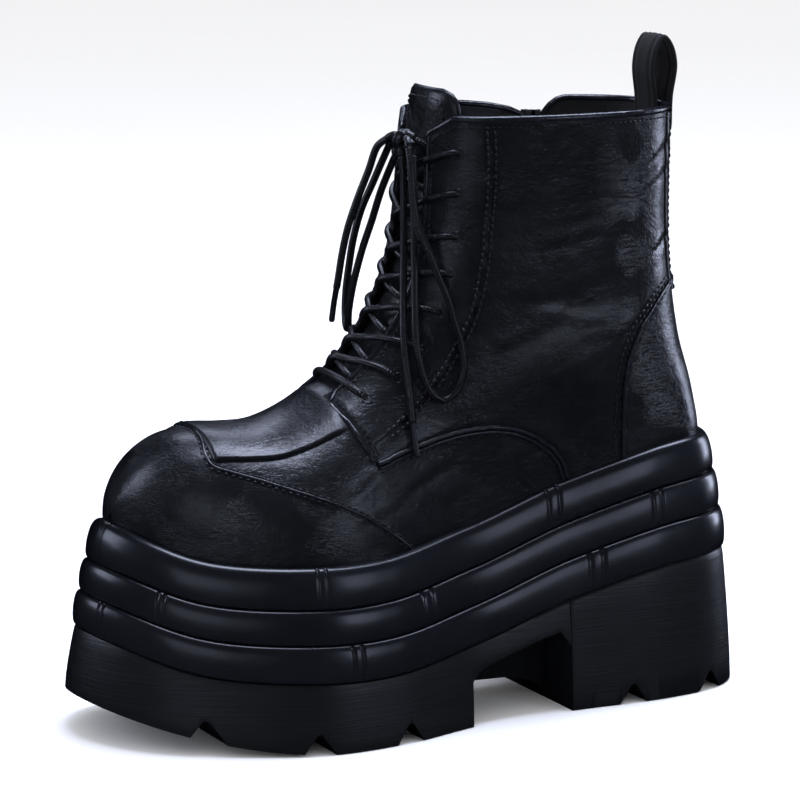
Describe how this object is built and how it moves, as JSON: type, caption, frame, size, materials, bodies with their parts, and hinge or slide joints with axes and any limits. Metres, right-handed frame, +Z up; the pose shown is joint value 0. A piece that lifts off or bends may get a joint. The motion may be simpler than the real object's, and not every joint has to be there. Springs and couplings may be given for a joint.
{
  "type": "platform boot",
  "caption": "Left platform ankle boot with a rounded toe, three-rib platform sole, block heel, front lacing, closed side zip and a pull loop at the back.",
  "frame": {"origin": "on the ground under the middle of the boot's box", "axes": "+Z up, toe towards -Y, lateral (outer) side towards +X"},
  "size_m": [0.1144, 0.284, 0.2682],
  "materials": {
    "tread rubber": "matte brushed moulded rubber",
    "platform foam": "smooth satin coated foam",
    "insole textile": "felt-faced textile",
    "upper leather": "semi-gloss waxed crackle leather",
    "tongue leather": "semi-gloss leather",
    "webbing": "ribbed webbing",
    "zip chain": "nylon coil",
    "zip metal": "black lacquered zinc",
    "lace cord": "waxed braided cord",
    "aglet": "crimped clear-black film"
  },
  "bodies": {
    "boot": {"aglet_lateral": "aglet", "aglet_medial": "aglet", "heel": "tread rubber", "insole": "insole textile", "lace_bar_bottom": "lace cord", "lace_cross_1": "lace cord", "lace_cross_2": "lace cord", "lace_cross_3": "lace cord", "lace_cross_4": "lace cord", "lace_cross_5": "lace cord", "lace_cross_6": "lace cord", "lace_cross_7": "lace cord", "lace_end_lateral": "lace cord", "lace_end_medial": "lace cord", "lace_knot": "lace cord", "lace_loop_lateral": "lace cord", "lace_loop_medial": "lace cord", "lace_top_lateral": "lace cord", "lace_top_medial": "lace cord", "outsole": "tread rubber", "pull_loop": "webbing", "rib_low": "platform foam", "rib_middle": "platform foam", "rib_top": "platform foam", "tongue": "tongue leather", "upper": "upper leather", "zip_chain": "zip chain", "zip_slider": "zip metal"},
    "zip_pull_tab": {"zip_pull": "zip metal"}
  },
  "joints": [
    {"name": "zip_pull_swing", "type": "hinge", "parent": "boot", "child": "zip_pull_tab", "pos_m": [-0.04116, 0.073, 0.231], "axis": [0, 1, 0], "range_deg": [0, 150]}
  ]
}
